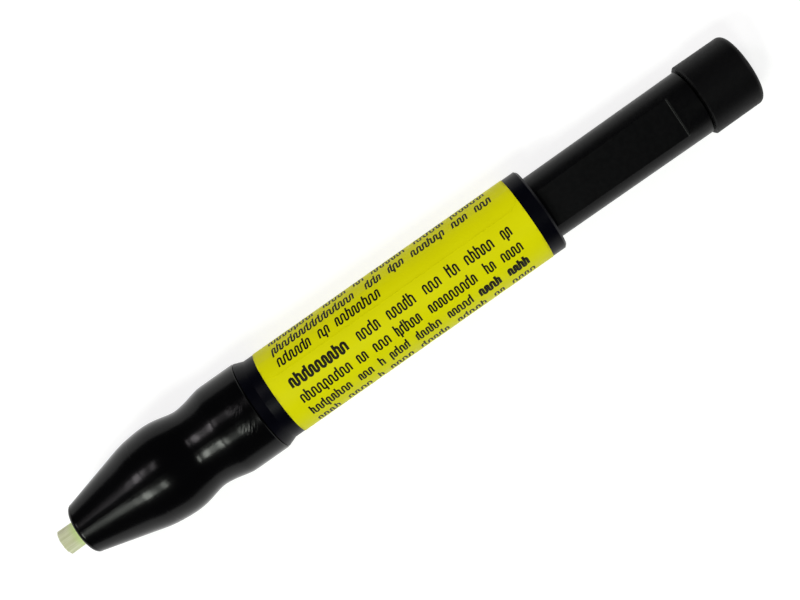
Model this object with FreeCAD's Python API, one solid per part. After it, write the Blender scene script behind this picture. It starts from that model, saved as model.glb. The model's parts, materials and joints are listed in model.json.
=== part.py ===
"""Propelling glass-fibre scratch-brush pen, in millimetres.

The pen's axis is X: the brush points to -X and the knob to +X. +Z is up, and the flat of the plunger
faces up. The origin is on the axis, at the middle of the barrel's plain cylinder.

How it works: the knob turns the lead screw in a nut fixed in the barrel. The screw draws the plunger
sleeve in and pushes the chuck and its brush out of the nose. The sleeve can't turn, because its flat
runs in a D-shaped bush. The nose grip unscrews from the barrel, and the chuck's ring slides back, to
change the brush.
"""
import FreeCAD, Part
import math
import os

from FreeCAD import Vector

AXIS = Vector(1, 0, 0)
CENTRE = Vector(0, 0, 0)

# ---------------------------------------------------------------- driving dimensions
BARREL_LENGTH = 49.8        # plain cylinder, centred on the origin
BARREL_R = 6.9
COLLAR_LENGTH = 1.5         # tapered collar in front of the plain cylinder
COLLAR_R = 7.45
GRIP_LENGTH = 32.55
GRIP_GAP = 0.15             # parting line between grip and collar
GRIP_R = 7.53               # rear bulge of the grip
BRUSH_R = 2.0
BRUSH_PROUD = 3.4           # brush beyond the nose's face
PLUNGER_SHOWN = 27.85       # plunger behind the barrel
PLUNGER_FRONT_R = 5.2       # the sleeve tapers towards its front
PLUNGER_REAR_R = 5.4
FLAT_HEIGHT = 4.3           # plunger's flat, above the axis
FLAT_TILT = 7.5             # degrees about X
FLAT_SHOWN = 23.9           # flat behind the barrel, up to its end wall
KNOB_GAP = 0.3
KNOB_LENGTH = 8.75
KNOB_R = 6.0
LABEL_LENGTH = 45.4
LABEL_SHIFT = -0.4          # label's middle from the origin
LABEL_THICKNESS = 0.06
FEED_PITCH = 2.5            # lead screw
FEED_FORWARD = 23.5         # travel of the brush out of the nose, from rest
FEED_BACK = 3.5             # and into it
NOSE_PITCH = 1.5            # thread between grip and barrel

# ---------------------------------------------------------------- clearances
RUNNING = 0.05              # journals, washers and rings
SLIDING = 0.08              # plunger in its bush
THREAD_CLEARANCE = 0.12
END_CLEARANCE = 0.2         # between a moving piece and its stop, at the end of its travel
OVERRUN = 1.0               # how far cutters run past what they cut

# ---------------------------------------------------------------- stations along X
BARREL_REAR = BARREL_LENGTH / 2
BARREL_FRONT = -BARREL_REAR
COLLAR_FRONT = BARREL_FRONT - COLLAR_LENGTH
GRIP_REAR = COLLAR_FRONT - GRIP_GAP
NOSE_FACE = GRIP_REAR - GRIP_LENGTH
BRUSH_TIP = NOSE_FACE - BRUSH_PROUD
PLUNGER_REAR = BARREL_REAR + PLUNGER_SHOWN
FLAT_END = BARREL_REAR + FLAT_SHOWN
KNOB_FRONT = PLUNGER_REAR + KNOB_GAP
KNOB_REAR = KNOB_FRONT + KNOB_LENGTH

BUSH_LENGTH = 6.0
BUSH_FRONT = BARREL_REAR - BUSH_LENGTH
FLANGE_THICKNESS = 2.0      # plunger's front flange
FLANGE_REAR = BUSH_FRONT - FEED_BACK - END_CLEARANCE
PLUNGER_FRONT = FLANGE_REAR - FLANGE_THICKNESS
CIRCLIP_THICKNESS = 0.6
NUT_REAR = PLUNGER_FRONT - FEED_FORWARD - END_CLEARANCE - CIRCLIP_THICKNESS
NUT_LENGTH = 7.5
NUT_FRONT = NUT_REAR - NUT_LENGTH

CHUCK_REAR = NUT_FRONT - FEED_BACK - END_CLEARANCE
CHUCK_LENGTH = 7.2
CHUCK_FRONT = CHUCK_REAR - CHUCK_LENGTH
SCREW_FRONT = CHUCK_REAR - 2.0      # end of the screw's spigot, inside the chuck
NOSE_SHOULDER = CHUCK_FRONT - FEED_FORWARD - END_CLEARANCE
SPIGOT_FRONT = COLLAR_FRONT - 8.0

WEB_FRONT = PLUNGER_REAR - 3.3      # wall at the plunger's rear, which carries the screw
WASHER_REAR = WEB_FRONT - RUNNING
CLIP_REAR = WASHER_REAR - 0.4
CLIP_FRONT = CLIP_REAR - 0.5
FRICTION_SEAT = KNOB_FRONT + 0.75   # knob's counterbore for the friction ring
SCREW_REAR = KNOB_FRONT + 6.9

# ---------------------------------------------------------------- radii
INNER_BORE_R = 4.45         # room for the chuck, in barrel and nose
PLUNGER_ROOM_R = 5.7        # barrel's bore behind the nut
FLANGE_R = 5.6
BUSH_R = 6.1
PLUNGER_BORE_R = 3.3
NUT_ACROSS_FLATS = 9.2
SCREW_CORE_R = 1.9
SCREW_CREST_R = 2.6
SCREW_SPIGOT_R = 1.5        # front end, in the chuck
JOURNAL_R = 2.4             # plain rear half, in the plunger's wall
CLIP_GROOVE_R = 1.9
TAIL_R = 2.0                # rear end, in the knob
TAIL_FLAT = 1.5             # height of the tail's flat above the axis
SPIGOT_CORE_R = 5.15
SPIGOT_CREST_R = 5.75
SEAL_SECTION_R = 0.5
SEAL_BORE_R = 5.85
FRICTION_SECTION_R = 0.5
FRICTION_SEAT_R = 3.7
MOUTH_R = 2.3
FERRULE_R = 2.3
BINDING_R = 2.12


# ---------------------------------------------------------------- shapes used more than once
def on_profile(x, radius):
    return Vector(x, 0, radius)


def turned(*outline):
    """A solid of revolution about X from (x, radius) points, closed back to the first."""
    points = [on_profile(x, radius) for x, radius in outline]
    face = Part.Face(Part.makePolygon(points + points[:1]))
    return face.revolve(CENTRE, AXIS, 360)


def turned_from_edges(edges):
    return Part.Face(Part.Wire(edges)).revolve(CENTRE, AXIS, 360)


def straight_edges(points):
    return [Part.makeLine(a, b) for a, b in zip(points, points[1:])]


def rod(x_start, x_end, radius):
    return Part.makeCylinder(radius, x_end - x_start, Vector(x_start, 0, 0), AXIS)


def tube(x_start, x_end, inner, outer):
    return rod(x_start, x_end, outer).cut(rod(x_start - OVERRUN, x_end + OVERRUN, inner))


def hexagon(x_start, x_end, across_flats):
    corner_r = across_flats / math.sqrt(3)
    corners = []
    for corner in range(6):
        angle = math.radians(60 * corner)
        corners.append(Vector(x_start, corner_r * math.cos(angle), corner_r * math.sin(angle)))
    return Part.Face(Part.makePolygon(corners + corners[:1])).extrude(Vector(x_end - x_start, 0, 0))


def rubber_ring(x_middle, bore_r, section_r):
    return Part.makeTorus(bore_r + section_r, section_r, Vector(x_middle, 0, 0), AXIS)


def open_ring(x_start, x_end, inner, outer, gap):
    """A flat spring ring with a gap at its bottom."""
    ring = tube(x_start, x_end, inner, outer)
    return ring.cut(Part.makeBox(x_end - x_start, gap, outer, Vector(x_start, -gap / 2, -outer)))


def thread_ridge(x_start, x_end, pitch, root_r, crest_r, root_width, crest_width):
    """A right-handed ridge round X. All ridges of one pitch have the same phase."""
    section = Part.makePolygon([
        Vector(root_r, 0, -root_width / 2),
        Vector(crest_r, 0, -crest_width / 2),
        Vector(crest_r, 0, crest_width / 2),
        Vector(root_r, 0, root_width / 2),
        Vector(root_r, 0, -root_width / 2),
    ])
    helix = Part.makeHelix(pitch, x_end - x_start, root_r)
    ridge = Part.Wire(helix).makePipeShell([section], True, True)
    ridge.rotate(CENTRE, Vector(0, 0, 1), 360 * x_start / pitch)
    ridge.translate(Vector(0, 0, x_start))
    ridge.rotate(CENTRE, Vector(0, 1, 0), 90)
    return ridge


def feed_thread(x_start, x_end, clearance=0.0):
    """The lead screw's ridge, or with a clearance the cutter of the nut's groove."""
    root_width, crest_width = 1.55, 0.75
    return thread_ridge(
        x_start, x_end, FEED_PITCH,
        SCREW_CORE_R - RUNNING, SCREW_CREST_R + clearance,
        root_width + 2 * clearance, crest_width + 2 * clearance,
    )


def nose_thread(x_start, x_end, clearance=0.0):
    """The spigot's ridge, or with a clearance the cutter of the grip's groove."""
    root_width, crest_width = 0.95, 0.4
    return thread_ridge(
        x_start, x_end, NOSE_PITCH,
        SPIGOT_CORE_R - RUNNING, SPIGOT_CREST_R + clearance,
        root_width + 2 * clearance, crest_width + 2 * clearance,
    )


# ---------------------------------------------------------------- nose
FACE_R = 3.45               # flat front of the nose
CONE_SLOPE = 0.267          # radius gained per millimetre of cone
CONE_REAR = -49.0           # where the cone starts to bend into the front bulge
CONE_REAR_R = 6.786
BULGE_REAR = -31.9          # the rear bulge is a plain cylinder behind this
SEAL_SEAT_R = SEAL_BORE_R + 2 * SEAL_SECTION_R + RUNNING
SEAL_SEAT_FRONT = COLLAR_FRONT - 2 * (SEAL_SECTION_R + RUNNING)
SOCKET_BOTTOM = SPIGOT_FRONT - 0.5


def nose_contour():
    """Outside of the grip: rounded front edge, cone, front bulge, waist and rear bulge."""
    round_length = 0.75
    rear_edge = 0.15
    cone_x = NOSE_FACE + round_length
    cone_start = on_profile(cone_x, CONE_REAR_R - CONE_SLOPE * (CONE_REAR - cone_x))
    cone_end = on_profile(CONE_REAR, CONE_REAR_R)
    front_edge = Part.Arc(
        on_profile(NOSE_FACE, FACE_R),
        on_profile(NOSE_FACE + 0.2 * round_length, FACE_R + 0.62 * (cone_start.z - FACE_R)),
        cone_start,
    )
    bulges = Part.BSplineCurve()
    bulges.interpolate(
        Points=[
            cone_end,
            on_profile(-47.3, 7.19),
            on_profile(-45.2, 7.46),
            on_profile(-43.3, 7.57),
            on_profile(-41.4, 7.42),
            on_profile(-39.3, 6.95),
            on_profile(-37.7, 6.70),
            on_profile(-36.6, 6.78),
            on_profile(-35.5, 6.96),
            on_profile(-34.4, 7.22),
            on_profile(-33.4, 7.43),
            on_profile(BULGE_REAR, GRIP_R),
        ],
        InitialTangent=Vector(1, 0, CONE_SLOPE),
        FinalTangent=Vector(1, 0, 0),
    )
    tail = straight_edges([
        on_profile(BULGE_REAR, GRIP_R),
        on_profile(GRIP_REAR - rear_edge, GRIP_R),
        on_profile(GRIP_REAR, GRIP_R - rear_edge),
    ])
    return [front_edge.toShape(), Part.makeLine(cone_start, cone_end), bulges.toShape()] + tail


def nose_grip():
    """Contoured nose with a mouth for the brush, room for the chuck and a threaded socket."""
    contour = nose_contour()
    socket_r = SPIGOT_CORE_R + THREAD_CLEARANCE
    funnel_r = 3.3
    funnel_length = 3.0
    mouth_edge = 0.15
    inside = straight_edges([
        contour[-1].Vertexes[-1].Point,
        on_profile(GRIP_REAR, SEAL_SEAT_R),
        on_profile(SEAL_SEAT_FRONT, SEAL_SEAT_R),
        on_profile(SEAL_SEAT_FRONT, socket_r),
        on_profile(SOCKET_BOTTOM, socket_r),
        on_profile(SOCKET_BOTTOM, INNER_BORE_R),
        on_profile(NOSE_SHOULDER, INNER_BORE_R),
        on_profile(NOSE_SHOULDER, funnel_r),
        on_profile(NOSE_SHOULDER - funnel_length, MOUTH_R),
        on_profile(NOSE_FACE + mouth_edge, MOUTH_R),
        on_profile(NOSE_FACE, MOUTH_R + mouth_edge),
        on_profile(NOSE_FACE, FACE_R),
    ])
    groove = nose_thread(SOCKET_BOTTOM - NOSE_PITCH, SEAL_SEAT_FRONT + NOSE_PITCH, THREAD_CLEARANCE)
    below_socket = rod(SOCKET_BOTTOM - 2 * NOSE_PITCH, SOCKET_BOTTOM, GRIP_R)
    return turned_from_edges(contour + inside).cut(groove.cut(below_socket))


def nose_seal_ring():
    return rubber_ring(COLLAR_FRONT - RUNNING - SEAL_SECTION_R, SEAL_BORE_R, SEAL_SECTION_R)


# ---------------------------------------------------------------- barrel
def barrel():
    """Tube with a tapered collar and a threaded spigot in front, and a pocket for the nut."""
    rear_edge = 0.35
    neck_front = SEAL_SEAT_FRONT + 0.15
    clip_groove_depth = 0.3
    shell = turned(
        (SPIGOT_FRONT, INNER_BORE_R),
        (SPIGOT_FRONT, SPIGOT_CORE_R),
        (neck_front, SPIGOT_CORE_R),
        (neck_front, SPIGOT_CREST_R),
        (COLLAR_FRONT, SPIGOT_CREST_R),
        (COLLAR_FRONT, COLLAR_R),
        (BARREL_FRONT, BARREL_R),
        (BARREL_REAR - rear_edge, BARREL_R),
        (BARREL_REAR, BARREL_R - rear_edge),
        (BARREL_REAR, BUSH_R),
        (BUSH_FRONT, BUSH_R),
        (BUSH_FRONT, PLUNGER_ROOM_R),
        (NUT_REAR, PLUNGER_ROOM_R),
        (NUT_REAR, INNER_BORE_R),
    )
    ridge_inset = 0.7
    ridge = nose_thread(SPIGOT_FRONT + ridge_inset, neck_front - ridge_inset)
    nut_pocket = hexagon(NUT_FRONT, NUT_REAR, NUT_ACROSS_FLATS)
    clip_groove = rod(NUT_REAR, NUT_REAR + CIRCLIP_THICKNESS, PLUNGER_ROOM_R + clip_groove_depth)
    return shell.fuse(ridge).cut(nut_pocket).cut(clip_groove)


def label():
    """Vinyl wrap of one turn, with a second layer where its end overlaps; that end has round corners."""
    seam_angle = 18.3
    overlap = 3.4
    corner_r = 2.2
    front = LABEL_SHIFT - LABEL_LENGTH / 2
    rear = LABEL_SHIFT + LABEL_LENGTH / 2
    outer_r = BARREL_R + LABEL_THICKNESS
    wrap = tube(front, rear, BARREL_R, outer_r)
    second_layer = tube(front, rear, outer_r, outer_r + LABEL_THICKNESS)
    end = Part.makeBox(LABEL_LENGTH, overlap, outer_r, Vector(front, 0, outer_r / 2))
    corners = [
        edge for edge in end.Edges
        if abs(edge.CenterOfMass.y) < RUNNING and abs(edge.CenterOfMass.x - LABEL_SHIFT) > LABEL_LENGTH / 4
        and abs(edge.tangentAt(edge.FirstParameter).z) > 0.5
    ]
    end = end.makeFillet(corner_r, corners)
    end.rotate(CENTRE, AXIS, -seam_angle)
    return wrap.fuse(second_layer.common(end)).removeSplitter()


def guide_bush():
    """Ring with a D-shaped hole that keeps the plunger from turning."""
    hole = rod(BUSH_FRONT - OVERRUN, BARREL_REAR + OVERRUN, PLUNGER_REAR_R + SLIDING)
    size = 2 * BARREL_R
    over_flat = Part.makeBox(
        BUSH_LENGTH + 4 * OVERRUN, size, size,
        Vector(BUSH_FRONT - 2 * OVERRUN, -size / 2, FLAT_HEIGHT + SLIDING),
    )
    over_flat.rotate(CENTRE, AXIS, FLAT_TILT)
    return rod(BUSH_FRONT, BARREL_REAR, BUSH_R).cut(hole.cut(over_flat))


def feed_nut():
    nut = hexagon(NUT_FRONT, NUT_REAR, NUT_ACROSS_FLATS)
    bore = rod(NUT_FRONT - OVERRUN, NUT_REAR + OVERRUN, SCREW_CORE_R + THREAD_CLEARANCE)
    groove = feed_thread(NUT_FRONT - FEED_PITCH, NUT_REAR + FEED_PITCH, THREAD_CLEARANCE)
    return nut.cut(bore).cut(groove)


def nut_circlip():
    inner, outer, gap = 4.6, 6.0, 2.2
    return open_ring(NUT_REAR, NUT_REAR + CIRCLIP_THICKNESS, inner, outer, gap)


# ---------------------------------------------------------------- plunger and knob
def plunger_sleeve():
    """Tapered tube with a front flange, a rear wall and one long flat that ends in a slope."""
    rear_edge = 0.1
    body = turned(
        (PLUNGER_FRONT, PLUNGER_BORE_R),
        (PLUNGER_FRONT, FLANGE_R),
        (FLANGE_REAR, FLANGE_R),
        (FLANGE_REAR, PLUNGER_FRONT_R),
        (PLUNGER_REAR - rear_edge, PLUNGER_REAR_R),
        (PLUNGER_REAR, PLUNGER_REAR_R - rear_edge),
        (PLUNGER_REAR, JOURNAL_R + RUNNING),
        (WEB_FRONT, JOURNAL_R + RUNNING),
        (WEB_FRONT, PLUNGER_BORE_R),
    )
    cut_height = 2 * BARREL_R
    slope_run = cut_height - FLAT_HEIGHT
    outline = [
        Vector(FLANGE_REAR, -BARREL_R, FLAT_HEIGHT),
        Vector(FLAT_END, -BARREL_R, FLAT_HEIGHT),
        Vector(FLAT_END + slope_run, -BARREL_R, cut_height),
        Vector(FLANGE_REAR, -BARREL_R, cut_height),
    ]
    flat = Part.Face(Part.makePolygon(outline + outline[:1])).extrude(Vector(0, 2 * BARREL_R, 0))
    flat.rotate(CENTRE, AXIS, FLAT_TILT)
    return body.cut(flat)


def tail_key():
    """The segment that the flat takes off the screw's round tail; the knob fills it."""
    block = Part.makeBox(
        SCREW_REAR - FRICTION_SEAT, 2 * TAIL_R, TAIL_R,
        Vector(FRICTION_SEAT, -TAIL_R, TAIL_FLAT),
    )
    return block.common(rod(FRICTION_SEAT, SCREW_REAR, TAIL_R))


def end_knob():
    """Cap, hollow round a central boss that holds the screw's tail."""
    front_edge = 0.2
    end_edge = 0.95
    end_r = KNOB_R - 0.06
    end_wall = 1.6
    skirt_bore_r = 4.9
    boss_r = 4.0
    draft = 0.15
    front_profile = [
        on_profile(KNOB_FRONT, skirt_bore_r),
        on_profile(KNOB_FRONT, KNOB_R - front_edge),
        on_profile(KNOB_FRONT + front_edge, KNOB_R),
        on_profile(KNOB_REAR - end_edge, end_r),
    ]
    end_round = Part.Arc(
        front_profile[-1],
        on_profile(KNOB_REAR - 0.3 * end_edge, end_r - 0.3 * end_edge),
        on_profile(KNOB_REAR, end_r - end_edge),
    )
    rear_profile = [
        on_profile(KNOB_REAR, end_r - end_edge),
        on_profile(KNOB_REAR, 0),
        on_profile(SCREW_REAR, 0),
        on_profile(SCREW_REAR, TAIL_R),
        on_profile(FRICTION_SEAT, TAIL_R),
        on_profile(FRICTION_SEAT, FRICTION_SEAT_R),
        on_profile(KNOB_FRONT, FRICTION_SEAT_R),
        on_profile(KNOB_FRONT, boss_r),
        on_profile(KNOB_REAR - end_wall, boss_r + draft),
        on_profile(KNOB_REAR - end_wall, skirt_bore_r - draft),
        on_profile(KNOB_FRONT, skirt_bore_r),
    ]
    edges = straight_edges(front_profile) + [end_round.toShape()] + straight_edges(rear_profile)
    return turned_from_edges(edges).fuse(tail_key())


# ---------------------------------------------------------------- feed
def lead_screw():
    """Threaded front half, plain journal, clip groove and a flatted tail for the knob."""
    thread_front = CHUCK_REAR + 1.0
    thread_rear = NUT_REAR + FEED_FORWARD + 1.5
    run_out = 0.5
    shaft = turned(
        (SCREW_FRONT, 0),
        (SCREW_FRONT, SCREW_SPIGOT_R),
        (CHUCK_REAR, SCREW_SPIGOT_R),
        (CHUCK_REAR, SCREW_CORE_R),
        (thread_rear, SCREW_CORE_R),
        (thread_rear + run_out, JOURNAL_R),
        (CLIP_FRONT, JOURNAL_R),
        (CLIP_FRONT, CLIP_GROOVE_R),
        (CLIP_REAR, CLIP_GROOVE_R),
        (CLIP_REAR, JOURNAL_R),
        (FRICTION_SEAT, JOURNAL_R),
        (FRICTION_SEAT, TAIL_R),
        (SCREW_REAR, TAIL_R),
        (SCREW_REAR, 0),
    )
    ridge = feed_thread(thread_front, thread_rear - run_out)
    return shaft.fuse(ridge).cut(tail_key())


def retaining_clip():
    outer, gap = PLUNGER_BORE_R - 0.2, 2.0
    return open_ring(CLIP_FRONT, CLIP_REAR, CLIP_GROOVE_R, outer, gap)


def thrust_washer():
    return tube(CLIP_REAR, WASHER_REAR, JOURNAL_R + RUNNING, PLUNGER_BORE_R - 2 * RUNNING)


def friction_ring():
    return rubber_ring(PLUNGER_REAR + RUNNING + FRICTION_SECTION_R, JOURNAL_R + RUNNING, FRICTION_SECTION_R)


# ---------------------------------------------------------------- brush and its chuck
BOSS_FRONT = CHUCK_REAR - 2.6       # solid rear end of the chuck
BOSS_R = 3.15
JAW_FRONT_R = 3.5
BRUSH_REAR = BOSS_FRONT + 0.2
FERRULE_FRONT = CHUCK_FRONT - 1.6


def jaw_radius(x):
    """Outside radius of the chuck's jaws, which widen towards the front."""
    return BOSS_R + (JAW_FRONT_R - BOSS_R) * (BOSS_FRONT - x) / (BOSS_FRONT - CHUCK_FRONT)


def brush_chuck():
    """Slotted collet: a boss on the screw's spigot and four jaws round the ferrule."""
    vent_r = 0.6
    slot_width = 0.6
    slot_rear = BOSS_FRONT - 0.8
    body = turned(
        (CHUCK_FRONT, FERRULE_R),
        (CHUCK_FRONT, JAW_FRONT_R),
        (BOSS_FRONT, BOSS_R),
        (CHUCK_REAR, BOSS_R),
        (CHUCK_REAR, SCREW_SPIGOT_R),
        (SCREW_FRONT, SCREW_SPIGOT_R),
        (SCREW_FRONT, vent_r),
        (BRUSH_REAR, vent_r),
        (BRUSH_REAR, FERRULE_R),
    )
    for turn in (0, 90):
        slot = Part.makeBox(
            slot_rear - CHUCK_FRONT + OVERRUN, 4 * BOSS_R, slot_width,
            Vector(CHUCK_FRONT - OVERRUN, -2 * BOSS_R, -slot_width / 2),
        )
        slot.rotate(CENTRE, AXIS, turn)
        body = body.cut(slot)
    return body


def chuck_ring():
    """Ring that closes the jaws; pushed back, it lets the ferrule go."""
    front = CHUCK_FRONT + 0.3
    rear = front + 3.0
    outer = INNER_BORE_R - 0.25
    edge = 0.25
    return turned(
        (front, jaw_radius(front) + RUNNING),
        (front, outer - edge),
        (front + edge, outer),
        (rear - edge, outer),
        (rear, outer - edge),
        (rear, jaw_radius(rear) + RUNNING),
    )


def brush_ferrule():
    return tube(FERRULE_FRONT, BRUSH_REAR, BRUSH_R, FERRULE_R)


def brush_bundle():
    """Straight bundle of glass fibres, cut square."""
    return rod(BRUSH_TIP, BRUSH_REAR, BRUSH_R)


def binding_thread():
    """Thread wound close round the bundle from the mouth to the ferrule, as the sleeve it fills."""
    proud = 0.4
    return tube(NOSE_FACE - proud, FERRULE_FRONT, BRUSH_R, BINDING_R)


NODES = [
    nose_grip, nose_seal_ring, barrel, label, guide_bush, feed_nut, nut_circlip,
    plunger_sleeve, end_knob, lead_screw, retaining_clip, thrust_washer, friction_ring,
    brush_chuck, chuck_ring, brush_ferrule, brush_bundle, binding_thread,
]


def main():
    os.makedirs("parts", exist_ok=True)
    for make in NODES:
        shape = make()
        name = make.__name__
        print(f"{name:16s} solids {len(shape.Solids)} valid {shape.isValid()} {shape.Volume:9.2f} mm3")
        shape.exportStep(f"parts/{name}.step")


main()
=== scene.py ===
"""Looks of the glass-fibre scratch-brush pen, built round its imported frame.

Everything is in metres in the part's own frame: +X runs along the pen's axis from the brush to the knob,
and +Z is up. Angles round the axis are measured from +Z towards +Y.
"""
import bpy
import json
import math
import random
from mathutils import Matrix, Vector


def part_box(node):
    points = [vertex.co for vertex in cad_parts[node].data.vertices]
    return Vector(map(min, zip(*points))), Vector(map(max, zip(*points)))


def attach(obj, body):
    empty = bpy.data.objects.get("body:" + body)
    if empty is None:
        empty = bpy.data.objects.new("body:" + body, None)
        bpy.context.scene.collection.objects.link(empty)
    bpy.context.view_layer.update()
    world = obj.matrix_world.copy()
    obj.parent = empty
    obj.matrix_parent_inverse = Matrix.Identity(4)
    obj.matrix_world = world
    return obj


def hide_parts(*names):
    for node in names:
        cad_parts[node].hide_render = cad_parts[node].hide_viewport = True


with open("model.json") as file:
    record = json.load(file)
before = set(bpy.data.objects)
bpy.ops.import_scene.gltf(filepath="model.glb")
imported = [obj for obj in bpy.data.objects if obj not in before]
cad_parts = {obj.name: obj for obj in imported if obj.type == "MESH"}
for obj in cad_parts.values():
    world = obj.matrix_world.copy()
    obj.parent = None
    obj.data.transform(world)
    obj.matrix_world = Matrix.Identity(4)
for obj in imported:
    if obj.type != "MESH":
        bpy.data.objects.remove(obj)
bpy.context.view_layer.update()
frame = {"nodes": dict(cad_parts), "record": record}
scene = bpy.context.scene
scene.view_settings.view_transform = "Standard"
MM = 0.001


# ---------------------------------------------------------------- places taken from the frame
def span(node):
    """Lowest and highest x of a CAD node."""
    low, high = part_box(node)
    return low[0], high[0]


def radius(node):
    """Greatest radius of a round CAD node."""
    low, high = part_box(node)
    return (high[1] - low[1]) / 2


BARREL_R = 6.9 * MM
BRUSH_TIP, BRUSH_REAR = span("brush_bundle")
BRUSH_R = radius("brush_bundle")
BINDING_FRONT, BINDING_REAR = span("binding_thread")
BINDING_R = radius("binding_thread")
LABEL_FRONT, LABEL_REAR = span("label")
NOSE_FRONT, NOSE_REAR = span("nose_grip")
BARREL_REAR = span("barrel")[1]
PLUNGER_REAR = span("plunger_sleeve")[1]
KNOB_FRONT, KNOB_REAR = span("end_knob")
FLAT_SHOWN = 23.9 * MM              # the plunger's flat behind the barrel
FLAT_HEIGHT = 4.3 * MM              # above the axis
FLAT_TILT = math.radians(7.5)       # about the axis


# ---------------------------------------------------------------- node graphs
class Graph:
    """A material's nodes. Sizes are given in millimetres on the object."""

    def __init__(self, name):
        self.material = bpy.data.materials.new(name)
        self.material.use_nodes = True
        self.tree = self.material.node_tree
        self.shader = self.tree.nodes["Principled BSDF"]
        self.place = self.add("ShaderNodeTexCoord").outputs["Object"]

    def add(self, kind, **settings):
        node = self.tree.nodes.new(kind)
        for name, value in settings.items():
            setattr(node, name, value)
        return node

    def feed(self, socket, value):
        if isinstance(value, bpy.types.NodeSocket):
            self.tree.links.new(value, socket)
        else:
            socket.default_value = value

    def set(self, **values):
        """Sets the shader's sockets: Base_Color=... means the socket Base Color."""
        for name, value in values.items():
            self.feed(self.shader.inputs[name.replace("_", " ")], value)

    def math(self, operation, *values):
        node = self.add("ShaderNodeMath", operation=operation)
        for socket, value in zip(node.inputs, values):
            self.feed(socket, value)
        return node.outputs[0]

    def scaled(self, stretch, turn=0.0):
        """The place on the object, turned about Z, in units of stretch millimetres along each axis."""
        node = self.add("ShaderNodeMapping", vector_type="TEXTURE")
        self.feed(node.inputs["Vector"], self.place)
        node.inputs["Rotation"].default_value = (0, 0, turn)
        node.inputs["Scale"].default_value = [s * MM for s in stretch]
        return node.outputs["Vector"]

    def noise(self, size, stretch=(1, 1, 1), turn=0.0, detail=3.0, rough=0.55, distortion=0.0):
        """Soft noise whose features are about size across, longer along the stretched axes."""
        node = self.add("ShaderNodeTexNoise")
        self.feed(node.inputs["Vector"], self.scaled([size * s for s in stretch], turn))
        self.feed(node.inputs["Scale"], 1.0)
        self.feed(node.inputs["Detail"], detail)
        self.feed(node.inputs["Roughness"], rough)
        self.feed(node.inputs["Distortion"], distortion)
        return node.outputs["Fac"]

    def ramp(self, value, low, high, start=0.0, end=1.0):
        """Maps value from start..end to low..high, smoothly and clamped."""
        node = self.add("ShaderNodeMapRange", interpolation_type="SMOOTHSTEP")
        for socket, number in zip(node.inputs, (value, start, end, low, high)):
            self.feed(socket, number)
        return node.outputs["Result"]

    def mix(self, factor, first, second):
        node = self.add("ShaderNodeMix", data_type="RGBA")
        self.feed(node.inputs["Factor"], factor)
        sockets = [s for s in node.inputs if s.type == "RGBA"]
        self.feed(sockets[0], first)
        self.feed(sockets[1], second)
        return [s for s in node.outputs if s.type == "RGBA"][0]

    def blend(self, value, start, end, first, second, most=1.0):
        """first where value is under start, and that much of second, at most, where it is over end."""
        return self.mix(self.ramp(value, 0.0, most, start, end), first, second)

    def along(self, axis="X"):
        """Distance along one axis, in metres."""
        node = self.add("ShaderNodeSeparateXYZ")
        self.feed(node.inputs[0], self.place)
        return node.outputs[axis]

    def near(self, x, reach):
        """1 at the plane x and 0 beyond reach of it, both in metres."""
        away = self.math("ABSOLUTE", self.math("SUBTRACT", self.along(), x))
        return self.ramp(away, 1.0, 0.0, 0.0, reach)

    def on_flat(self, height, tilt):
        """1 on a flat at that height above the axis, turned by tilt about the axis, and 0 below it."""
        upward = self.math("MULTIPLY", self.along("Z"), math.cos(tilt))
        level = self.math("SUBTRACT", upward, self.math("MULTIPLY", self.along("Y"), math.sin(tilt)))
        return self.ramp(level, 0.0, 1.0, height - 0.06 * MM, height)

    def bump(self, height, depth, under=None):
        """Bump of that depth in millimetres, on top of the bump under."""
        node = self.add("ShaderNodeBump")
        node.inputs["Strength"].default_value = 1.0
        node.inputs["Distance"].default_value = depth * MM
        self.feed(node.inputs["Height"], height)
        if under is not None:
            self.feed(node.inputs["Normal"], under)
        return node.outputs["Normal"]


def grey(value):
    return (value, value, value, 1.0)


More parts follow.
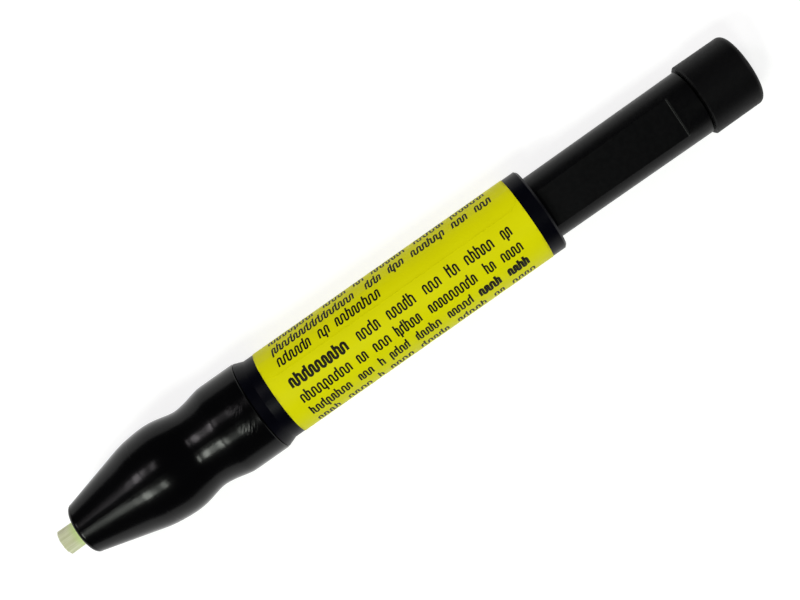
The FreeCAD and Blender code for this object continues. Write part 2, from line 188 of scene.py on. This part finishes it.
# ---------------------------------------------------------------- materials
def moulded_plastic(
    name, colour, gloss, specular, grain, edges=(), scuff=0.5, rubbed_at=None, parting=None, flat_end=None,
):
    """Black moulded plastic: fine grain, a slightly uneven surface, thin handling scratches, rubbed edges.

    gloss is (lowest, highest) roughness and grain is the grain's depth in millimetres. edges is a list of
    x where the plastic is rubbed, rubbed_at is an x where slanting hairlines cross the upper surface, and
    parting is the x of a faint line left by the mould. flat_end is the x where the flat ends and its corner
    shines.
    """
    g = Graph(name)
    fine = g.noise(0.16, detail=2.0)
    uneven = g.noise(3.2, stretch=(1.6, 1, 1), detail=1.0)
    patches = g.noise(0.7, detail=4.0, rough=0.6)
    scratches = g.noise(0.09, stretch=(26, 1, 1), detail=1.0, distortion=0.4)
    handled = g.ramp(patches, 0.0, scuff, 0.52, 0.74)
    thin = g.math("MULTIPLY", g.ramp(scratches, 0.0, 1.0, 0.7, 0.76), handled)
    worn = thin
    for x in edges:
        rub = g.math("MULTIPLY", g.near(x, 0.35 * MM), g.ramp(patches, 0.0, 0.6, 0.4, 0.64))
        worn = g.math("MAXIMUM", worn, rub)
    dark = tuple(c * 0.8 for c in colour[:3]) + (1.0,)
    pale = tuple(c * 2.0 + 0.006 for c in colour[:3]) + (1.0,)
    base = g.blend(uneven, 0.3, 0.7, colour, dark)
    sheen = g.ramp(patches, gloss[0], gloss[1], 0.3, 0.7)
    g.set(
        Base_Color=g.mix(g.math("MULTIPLY", worn, 0.55), base, pale),
        Roughness=g.math("ADD", sheen, g.math("MULTIPLY", worn, 0.12)),
        IOR=1.49,
        Specular_IOR_Level=specular,
    )
    relief = g.bump(fine, grain, g.bump(uneven, 0.012))
    if rubbed_at is not None:
        hairlines = g.noise(0.3, stretch=(9, 1, 1), turn=math.radians(52), detail=1.0)
        upper = g.ramp(g.along("Z"), 0.0, 1.0, 6.0 * MM, 7.2 * MM)
        patch = g.math("MULTIPLY", g.near(rubbed_at, 1.9 * MM), upper)
        relief = g.bump(g.math("MULTIPLY", hairlines, patch), 0.07, relief)
    if parting is not None:
        relief = g.bump(g.near(parting, 0.14 * MM), 0.012, relief)
    if flat_end is not None:
        corner = g.math("MULTIPLY", g.near(flat_end, 0.17 * MM), g.on_flat(FLAT_HEIGHT, FLAT_TILT))
        relief = g.bump(corner, 0.035, relief)
    g.set(Normal=g.bump(g.math("MULTIPLY", thin, -1.0), 0.004, relief))
    return g.material


def label_film():
    """Yellow coated film: print grain, faint handling marks, a little dirt at its front and rear edges."""
    g = Graph("label_film")
    cloud = g.noise(6.0, detail=2.0)
    fleck = g.noise(0.22, detail=2.0)
    smudge = g.noise(1.7, stretch=(1.8, 1, 1), detail=4.0, rough=0.6)
    yellow = g.blend(cloud, 0.3, 0.7, (0.70, 0.682, 0.0, 1), (0.72, 0.705, 0.0, 1))
    flecked = g.blend(fleck, 0.52, 0.75, yellow, (0.60, 0.57, 0.0, 1), most=0.10)
    ends = g.math("MAXIMUM", g.near(LABEL_FRONT, 0.5 * MM), g.near(LABEL_REAR, 0.5 * MM))
    dirt = g.math("MULTIPLY", ends, g.ramp(smudge, 0.0, 0.5, 0.42, 0.62))
    g.set(
        Base_Color=g.mix(dirt, flecked, (0.36, 0.32, 0.01, 1)),
        Roughness=g.ramp(smudge, 0.42, 0.5, 0.3, 0.7),
        IOR=1.46,
        Specular_IOR_Level=0.08,
        Normal=g.bump(fleck, 0.004, g.bump(cloud, 0.02)),
    )
    return g.material


def print_ink():
    g = Graph("print_ink")
    patches = g.noise(0.3, detail=2.0)
    g.set(
        Base_Color=g.blend(patches, 0.35, 0.7, (0.006, 0.006, 0.001, 1), (0.014, 0.013, 0.002, 1)),
        Roughness=g.ramp(patches, 0.45, 0.55, 0.3, 0.7),
        Specular_IOR_Level=0.15,
    )
    return g.material


def glass_fibres():
    """Cream fibres: each a little different, and tinted green by the thread where they leave it."""
    g = Graph("glass_fibres")
    strand = g.noise(0.16, stretch=(60, 1, 1), detail=2.0, rough=0.7)
    streak = g.noise(0.5, stretch=(14, 1, 1), detail=2.0)
    cream = g.blend(strand, 0.3, 0.7, (0.64, 0.66, 0.42, 1), (0.82, 0.83, 0.63, 1))
    shaded = g.blend(streak, 0.45, 0.7, cream, (0.54, 0.56, 0.31, 1), most=0.35)
    root = g.ramp(g.along(), 0.0, 0.75, NOSE_FRONT - 2.0 * MM, NOSE_FRONT - 0.5 * MM)
    g.set(
        Base_Color=g.mix(root, shaded, (0.66, 0.82, 0.31, 1)),
        Roughness=g.ramp(strand, 0.38, 0.6),
        Subsurface_Weight=0.15,
        Subsurface_Radius=(0.0004, 0.0004, 0.0003),
        IOR=1.55,
    )
    return g.material


def cotton():
    """Yellow-green sewing thread: twisted strands and loose fuzz."""
    g = Graph("cotton")
    strand = g.noise(0.05, stretch=(1, 3, 3), detail=3.0)
    patches = g.noise(0.8, detail=2.0)
    light = g.blend(patches, 0.3, 0.7, (0.56, 0.78, 0.18, 1), (0.66, 0.88, 0.24, 1))
    g.set(
        Base_Color=g.blend(strand, 0.4, 0.7, light, (0.34, 0.52, 0.08, 1), most=0.5),
        Roughness=0.85,
        Sheen_Weight=0.3,
        Normal=g.bump(strand, 0.02),
    )
    return g.material


def turned_metal(name, colour, dark, gloss):
    """Turned metal: fine tool rings round the axis, a dull film in patches."""
    g = Graph(name)
    rings = g.noise(0.045, stretch=(1, 400, 400), detail=2.0)
    film = g.noise(1.3, detail=4.0, rough=0.65)
    sheen = g.ramp(film, gloss[0], gloss[1], 0.35, 0.7)
    g.set(
        Base_Color=g.blend(film, 0.42, 0.72, colour, dark, most=0.75),
        Metallic=1.0,
        Roughness=g.math("ADD", sheen, g.math("MULTIPLY", rings, 0.08)),
        Normal=g.bump(rings, 0.012),
    )
    return g.material


def seal_rubber():
    g = Graph("seal_rubber_black")
    dust = g.noise(0.35, detail=4.0, rough=0.7)
    g.set(
        Base_Color=g.blend(dust, 0.5, 0.75, grey(0.008), grey(0.05), most=0.5),
        Roughness=g.ramp(dust, 0.55, 0.8, 0.3, 0.7),
        Normal=g.bump(g.noise(0.08, detail=2.0), 0.01),
    )
    return g.material


def studio_floor():
    g = Graph("studio_floor")
    paper = g.noise(1.0, detail=3.0)
    g.set(
        Base_Color=g.blend(paper, 0.3, 0.7, grey(0.39), grey(0.41)),
        Roughness=0.8,
        Specular_IOR_Level=0.15,
        Emission_Color=grey(1.0),
        Emission_Strength=0.75,
        Normal=g.bump(paper, 0.01),
    )
    return g.material


def paint_cad_nodes():
    """Gives every CAD node the material that its record slot asks for."""
    grip = moulded_plastic(
        "grip_plastic", (0.0008, 0.0008, 0.0011, 1), (0.17, 0.20), 0.13, 0.002,
        edges=(NOSE_FRONT,), scuff=0.3, rubbed_at=-28.7 * MM, parting=-45.7 * MM,
    )
    barrel = moulded_plastic(
        "barrel_plastic", (0.0002, 0.0003, 0.0024, 1), (0.32, 0.36), 0.09, 0.003, edges=(BARREL_REAR,),
    )
    plunger = moulded_plastic(
        "plunger_plastic", (0.0009, 0.0009, 0.0012, 1), (0.34, 0.40), 0.13, 0.003,
        edges=(PLUNGER_REAR,), scuff=0.6, flat_end=BARREL_REAR + FLAT_SHOWN,
    )
    knob = moulded_plastic(
        "knob_plastic", (0.0013, 0.0013, 0.0016, 1), (0.46, 0.52), 0.11, 0.004,
        edges=(KNOB_FRONT, KNOB_REAR),
    )
    brass = turned_metal("brass_turned", (0.78, 0.56, 0.22, 1), (0.38, 0.24, 0.09, 1), (0.18, 0.34))
    aluminium = turned_metal("aluminium", (0.7, 0.7, 0.71, 1), (0.45, 0.45, 0.46, 1), (0.26, 0.36))
    steel = turned_metal("steel", (0.52, 0.52, 0.53, 1), (0.26, 0.25, 0.24, 1), (0.2, 0.32))
    spring = turned_metal("spring_steel_oiled", (0.2, 0.19, 0.18, 1), (0.08, 0.07, 0.06, 1), (0.25, 0.4))
    by_slot = {
        "grip_black": grip,
        "barrel_navy": barrel,
        "bush_black": plunger,
        "plunger_black": plunger,
        "knob_black": knob,
        "brass": brass,
        "ring_aluminium": aluminium,
        "screw_steel": steel,
        "spring_steel": spring,
        "seal_rubber": seal_rubber(),
    }
    slots = {part["node"]: part["material_slot"] for part in frame["record"]["subparts"]}
    for node, piece in frame["nodes"].items():
        if slots[node] in by_slot:
            for material_slot in piece.material_slots:
                material_slot.material = by_slot[slots[node]]


# ---------------------------------------------------------------- mesh building
def on_cylinder(x, angle, r):
    """A point at that angle from +Z towards +Y."""
    return Vector((x, r * math.sin(angle), r * math.cos(angle)))


def make_piece(name, points, faces, material, body, node=None, smooth=True):
    """Makes a mesh, hangs it under its body, and hides the CAD node that it replaces."""
    mesh = bpy.data.meshes.new(name)
    mesh.from_pydata(points, [], faces)
    mesh.materials.append(material)
    mesh.validate()
    if smooth:
        mesh.shade_smooth()
    piece = bpy.data.objects.new(name, mesh)
    scene.collection.objects.link(piece)
    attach(piece, body)
    if node:
        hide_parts(node)
    return piece


# ---------------------------------------------------------------- brush
def brush_fibres():
    """The bundle as round fibres in hexagonal packing, cut square with a little scatter at the tip."""
    rng = random.Random(7)
    fibre_r = 0.058 * MM
    step = 2 * fibre_r * 1.02
    sides = 6
    spread = 0.03               # how far the outermost fibres lean out, against their radius
    wander = 0.012 * MM         # sideways scatter of the tips
    uneven_cut = 0.035 * MM
    worn_corner = 0.05 * MM     # how far the outermost tips stand back
    points, faces = [], []
    rows = int(BRUSH_R / (step * math.sqrt(3) / 2)) + 1
    for row in range(-rows, rows + 1):
        for column in range(-rows - 1, rows + 2):
            y = (column + 0.5 * (row % 2)) * step
            z = row * step * math.sqrt(3) / 2
            if math.hypot(y, z) > BRUSH_R - fibre_r:
                continue
            outer = (math.hypot(y, z) / BRUSH_R) ** 3
            scatter = Vector((0, rng.gauss(0, 1), rng.gauss(0, 1)))
            lean = Vector((0, y, z)) * spread * outer + scatter * wander
            tip = BRUSH_TIP + abs(rng.gauss(0, uneven_cut)) + worn_corner * outer
            size = fibre_r * rng.uniform(0.96, 1.05)
            turn = rng.uniform(0, math.pi / 3)
            stations = ((tip, 1.0), (NOSE_FRONT, 0.15), (BRUSH_REAR, 0.0))      # x, and share of the lean
            first = len(points)
            for x, share in stations:
                centre = Vector((x, y, z)) + lean * share
                for side in range(sides):
                    angle = turn + 2 * math.pi * side / sides
                    points.append(centre + Vector((0, size * math.sin(angle), size * math.cos(angle))))
            for ring in range(len(stations) - 1):
                for side in range(sides):
                    a = first + ring * sides + side
                    b = first + ring * sides + (side + 1) % sides
                    faces.append((a, b, b + sides, a + sides))
            faces.append(tuple(first + side for side in reversed(range(sides))))
            faces.append(tuple(first + (len(stations) - 1) * sides + side for side in range(sides)))
    return make_piece(
        "brush_fibres", points, faces, glass_fibres(), "feed_screw", "brush_bundle",
    )


def wound_binding():
    """One layer of thread wound close round the bundle, as a ridged helical sleeve."""
    pitch = 0.26 * MM
    groove = 0.06 * MM
    around, per_turn = 48, 5
    inner = BRUSH_R - 0.02 * MM
    length = BINDING_REAR - BINDING_FRONT
    rows = int(length / pitch * per_turn)
    points, faces = [], []
    for row in range(rows + 1):
        x = BINDING_FRONT + length * row / rows
        for side in range(around):
            angle = 2 * math.pi * side / around
            phase = x / pitch - side / around
            ridge = abs(math.cos(math.pi * phase)) ** 0.6       # broad ridges, narrow grooves
            points.append(on_cylinder(x, angle, BINDING_R - groove * (1 - ridge)))
    for row in (rows, 0):
        x = BINDING_FRONT + length * row / rows
        for side in range(around):
            points.append(on_cylinder(x, 2 * math.pi * side / around, inner))
    rings = rows + 3
    for ring in range(rings):
        for side in range(around):
            a = ring * around + side
            b = ring * around + (side + 1) % around
            c = (ring + 1) % rings * around + (side + 1) % around
            d = (ring + 1) % rings * around + side
            faces.append((a, d, c, b))
    return make_piece(
        "wound_binding", points, faces, cotton(), "feed_screw", "binding_thread",
    )


# ---------------------------------------------------------------- label
FILM = 0.06 * MM
OVERLAP = 3.4 * MM
CORNER_R = 2.2 * MM
CLIMB_ANGLE = math.radians(5)       # over which the film climbs onto its own start
LIFT_ANGLE = math.radians(4)        # over which its end stands off
LIFT = 0.05 * MM
SEAM_ANGLE = math.radians(18.3)
START_ANGLE = SEAM_ANGLE + OVERLAP / BARREL_R       # the first edge, under the second layer
END_ANGLE = SEAM_ANGLE - 2 * math.pi


def film_top(angle):
    """Radius of the film's outer face. It climbs over its own first edge, and its end lifts a little."""
    second = START_ANGLE - 2 * math.pi
    climb = min(max((second + CLIMB_ANGLE - angle) / CLIMB_ANGLE, 0.0), 1.0)
    climb = climb * climb * (3 - 2 * climb)
    lift = max(0.0, 1 - (angle - END_ANGLE) / LIFT_ANGLE) ** 2
    return BARREL_R + FILM * (1 + climb) + LIFT * lift


def film_inset(angle):
    """How far the film's side edges draw in at its rounded end."""
    left = CORNER_R - (angle - END_ANGLE) * (BARREL_R + 2 * FILM)
    return CORNER_R - math.sqrt(CORNER_R ** 2 - left ** 2) if left > 0 else 0.0


def label_wrap():
    """The film as one closed sheet that goes once round and laps over its own start."""
    across = 24
    steps = 200
    end_steps = 24
    sheet = FILM * 0.98         # a little thinner, so that the underside stays off the barrel
    narrowest = MM
    corner_angle = CORNER_R / (BARREL_R + 2 * FILM)
    turn = END_ANGLE + corner_angle - START_ANGLE
    angles = [START_ANGLE + turn * k / steps for k in range(steps)]
    for k in range(end_steps + 1):
        angles.append(END_ANGLE + corner_angle * (1 - math.sin(0.5 * math.pi * k / end_steps)))
    points, faces = [], []
    for angle in angles:
        inset = min(film_inset(angle), (LABEL_REAR - LABEL_FRONT) / 2 - narrowest)
        low, high = LABEL_FRONT + inset, LABEL_REAR - inset
        top = film_top(angle)
        bottom = top - sheet
        for r in (top, bottom):
            for k in range(across + 1):
                share = k / across if r == top else 1 - k / across
                points.append(on_cylinder(low + (high - low) * share, angle, r))
    ring = 2 * (across + 1)
    for row in range(len(angles) - 1):
        for k in range(ring):
            a, b = row * ring + k, row * ring + (k + 1) % ring
            faces.append((a, b, b + ring, a + ring))
    faces.append(tuple(reversed(range(ring))))
    faces.append(tuple((len(angles) - 1) * ring + k for k in range(ring)))
    piece = make_piece("label_wrap", points, faces, label_film(), "barrel", "label")
    piece.data.set_sharp_from_angle(angle=math.radians(40))
    return piece


ROW_PITCH = math.radians(23.6)
ROW_FRONT = -20.1 * MM
ROW_REAR = 19.6 * MM
LETTER_HEIGHT = 1.32 * MM
TALL_HEIGHT = 1.92 * MM
FOOT_DEPTH = 0.5 * MM
WORD_GAP = 0.92             # in letters
STROKE = 0.28 * MM
HEAVY_STROKE = 0.42 * MM
HEAVY_WIDTH = 1.12          # a heavy word's letters against the others
TALL_CHANCE = 0.16          # of a stem that stands up
FOOT_CHANCE = 0.05          # of a stem that reaches down, among the rest
INK = 0.012 * MM            # thickness of the ink
LAST_PITCH = 1.05 * MM      # the last row isn't filled
LAPPED_SLANT = 0.14         # the last two rows lean a little
LAST_ROW = math.radians(30.7) - 2 * math.pi
LAPPED_ROWS = [LAST_ROW + math.radians(43.0), LAST_ROW + math.radians(20.7), LAST_ROW]
# Word lengths of each row of filler print, first row first. A minus sign marks a heavy word.
PRINT_ROWS = [
    (-9, 4, 5, 3, 2, 5, 2),
    (9, 2, 3, 5, 9, 2, 4),
    (8, 3, 1, 4, 5, 5, -4, -4),
    (4, 4, 1, 4, 5, 5, 2, 4),
    (2, 7, 4, 3, 6, 4, 5),
    (9, 4, 7, 2, 3, 5),
    (3, 6, 4, 2, 8, 5, 3),
    (5, 2, 7, 3, 9, 4),
    (7, 4, 3, 5, 2, 6, 4),
    (4, 8, 2, 6, 3, 7),
    (6, 3, 5, 4, 9, 5),
    (3, 5, 7, 2, 4, 8),
    (8, 4, 2, 6, 5, 6),
    (15, 3, 3, 6, 3, 3),
    (6, 2, 8),
]


def row_angles():
    """Angles of the rows: evenly spaced, but for the last ones, which keep their own places."""
    even_rows = len(PRINT_ROWS) - len(LAPPED_ROWS)
    return [-ROW_PITCH * k for k in range(even_rows)] + LAPPED_ROWS


def row_words(words, filled):
    """Start, letter pitch, letter count and weight of each word of a row, spread over the row's width."""
    widths = [abs(word) * (HEAVY_WIDTH if word < 0 else 1.0) for word in words]
    room = ROW_REAR - ROW_FRONT
    pitch = room / (sum(widths) + WORD_GAP * (len(words) - 1)) if filled else LAST_PITCH
    gap = WORD_GAP * pitch
    x = ROW_FRONT
    placed = []
    for word, width in zip(words, widths):
        placed.append((x, pitch * width / abs(word), abs(word), word < 0))
        x += width * pitch + gap
    return placed


def stroke_sides(path, width):
    """The left and right points of a line of that width drawn through path."""
    sides = []
    for k, point in enumerate(path):
        before = (point - path[k - 1]).normalized() if k else (path[1] - point).normalized()
        after = (path[k + 1] - point).normalized() if k + 1 < len(path) else before
        normal = Vector((-before.y - after.y, before.x + after.x))
        normal *= width / normal.length_squared
        sides.append((point + normal, point - normal))
    return sides


def finely(path):
    """The path with points added, so that its strokes keep to the film's curve."""
    longest = 0.35 * MM
    fine = [path[0]]
    for point in path[1:]:
        start = fine[-1]
        steps = max(1, math.ceil((point - start).length / longest))
        fine += [start.lerp(point, (k + 1) / steps) for k in range(steps)]
    return fine


def filler_word(x, pitch, letters, rng):
    """Strokes of a word: a rounded wave with two stems a letter, and short ticks above or below some."""
    bend_steps = 5
    stems = 2 * letters
    places = [x]
    for _ in range(stems - 1):
        places.append(places[-1] + pitch * rng.uniform(0.40, 0.54))
    wave = [Vector((places[0], 0.0))]
    ticks = []
    for stem in range(stems):
        sx = places[stem]
        if rng.random() < TALL_CHANCE:
            ticks.append([Vector((sx, LETTER_HEIGHT * 0.8)), Vector((sx, TALL_HEIGHT))])
        elif rng.random() < FOOT_CHANCE:
            ticks.append([Vector((sx, LETTER_HEIGHT * 0.2)), Vector((sx, -FOOT_DEPTH))])
        if stem == stems - 1:
            break
        half = (places[stem + 1] - sx) / 2
        at_head = stem % 2 == 0
        level = LETTER_HEIGHT - half if at_head else half
        for k in range(bend_steps + 1):
            a = math.pi * (1 - k / bend_steps)
            rise = half * math.sin(a)
            wave.append(Vector((sx + half + half * math.cos(a), level + (rise if at_head else -rise))))
    wave.append(Vector((places[-1], 0.0)))
    return [wave] + ticks


def lay_ink(points, faces, sides, angle, slant):
    """Adds one stroke as a thin closed strip on the film."""
    first = len(points)
    for pair in sides:
        for lifted in (INK, 0.0):
            for p in pair:
                a = angle + (p.y - LETTER_HEIGHT / 2) / (BARREL_R + FILM)
                points.append(on_cylinder(p.x + slant * p.y, a, film_top(a) + lifted))
    for k in range(len(sides) - 1):
        a, b = first + 4 * k, first + 4 * k + 4
        faces += [(a, a + 1, b + 1, b), (a + 2, b + 2, b + 3, a + 3)]
        faces += [(a, b, b + 2, a + 2), (a + 1, a + 3, b + 3, b + 1)]
    e = first + 4 * (len(sides) - 1)
    faces += [(first, first + 2, first + 3, first + 1), (e, e + 1, e + 3, e + 2)]


def label_print():
    """Rows of meaningless filler strokes in place of the label's wording, as a thin layer of ink."""
    rng = random.Random(11)
    points, faces = [], []
    for row, (angle, words) in enumerate(zip(row_angles(), PRINT_ROWS)):
        slant = LAPPED_SLANT if row >= len(PRINT_ROWS) - 2 else 0.0
        for x, pitch, letters, heavy in row_words(words, row < len(PRINT_ROWS) - 1):
            width = HEAVY_STROKE if heavy else STROKE
            for path in filler_word(x, pitch, letters, rng):
                lay_ink(points, faces, stroke_sides(finely(path), width), angle, slant)
    return make_piece("label_print", points, faces, print_ink(), "barrel", smooth=False)


# ---------------------------------------------------------------- stage, light and camera
def add_floor():
    """A pale floor that the pen lies on: it touches the grip's rear corner and the barrel's rear rim."""
    size = 6.0
    clearance = 0.05 * MM
    grip = Vector((NOSE_REAR, 0, -radius("nose_grip")))
    rim = Vector((BARREL_REAR, 0, -BARREL_R))
    slope = math.atan2(rim.z - grip.z, rim.x - grip.x)
    corners = [(-size, -size, 0), (size, -size, 0), (size, size, 0), (-size, size, 0)]
    mesh = bpy.data.meshes.new("floor")
    mesh.from_pydata(corners, [], [(0, 1, 2, 3)])
    mesh.materials.append(studio_floor())
    floor = bpy.data.objects.new("floor", mesh)
    place = grip - Vector((0, 0, clearance))
    floor.matrix_world = Matrix.Translation(place) @ Matrix.Rotation(-slope, 4, "Y")
    scene.collection.objects.link(floor)


def add_softbox(name, tilt_x, tilt_y, distance, size, power, colour):
    """A softbox aimed at the pen. tilt_x and tilt_y are degrees from straight up, to +X and +Y.

    size is its extent in metres along X, foreshortened, and along Y.
    """
    back = Vector((math.tan(math.radians(tilt_x)), math.tan(math.radians(tilt_y)), 1.0)).normalized()
    across = (Vector((0, 1, 0)) - back * back.y).normalized()
    data = bpy.data.lights.new(name, "AREA")
    data.shape = "RECTANGLE"
    data.size, data.size_y = size
    data.energy = power
    data.color = colour
    light = bpy.data.objects.new(name, data)
    turn = Matrix((across.cross(back), across, back)).transposed().to_4x4()
    light.matrix_world = Matrix.Translation(back * distance) @ turn
    scene.collection.objects.link(light)


def add_lights():
    """Three pairs of softboxes over the nose, a broad fill along the pen's axis, and a dim room."""
    greenish = (0.95, 1.0, 0.92)
    purplish = (1.0, 0.94, 0.98)
    white = (1.0, 1.0, 1.0)
    distance = 2.4
    places = (("front", -44.5, 0.26), ("middle", -33.0, 0.31), ("rear", -17.5, 0.25))
    rows = (
        ("lower", -21.5, 0.60, greenish, (6.5, 19.5, 10.0)),
        ("upper", 28.5, 0.64, purplish, (3.0, 10.0, 3.4)),
    )
    for row, tilt_y, across, colour, powers in rows:
        for (place, tilt_x, along), power in zip(places, powers):
            add_softbox(f"{row}_{place}", tilt_x, tilt_y, distance, (along, across), power, colour)
    add_softbox("rear_fill", 60, 0, 3.0, (1.6, 1.6), 30.0, white)
    world = bpy.data.worlds.new("studio")
    world.use_nodes = True
    background = world.node_tree.nodes["Background"]
    background.inputs["Color"].default_value = (0.97, 0.98, 1.0, 1.0)
    background.inputs["Strength"].default_value = 0.07
    scene.world = world


def add_camera():
    """Straight above the pen and a little to its rear, with the lens shifted so the pen is centred."""
    roll = math.radians(35.07)
    right = Vector((math.cos(roll), -math.sin(roll), 0))
    up = Vector((math.sin(roll), math.cos(roll), 0))
    back = Vector((0, 0, 1))
    foot = Vector((7.0, 0.93, 0)) * MM
    centre = Vector((-0.34, 0.93, 0)) * MM
    height = 220.5 * MM
    data = bpy.data.cameras.new("camera")
    data.sensor_width = 36.0
    data.lens = 66.0
    width = data.sensor_width / data.lens * height
    data.shift_x = right.dot(centre - foot) / width
    data.shift_y = up.dot(centre - foot) / width
    data.clip_start, data.clip_end = 0.01, 20.0
    camera = bpy.data.objects.new("camera", data)
    turn = Matrix((right, up, back)).transposed().to_4x4()
    camera.matrix_world = Matrix.Translation(foot + back * height) @ turn
    scene.collection.objects.link(camera)
    scene.camera = camera


paint_cad_nodes()
brush_fibres()
wound_binding()
label_wrap()
label_print()
add_floor()
add_lights()
add_camera()
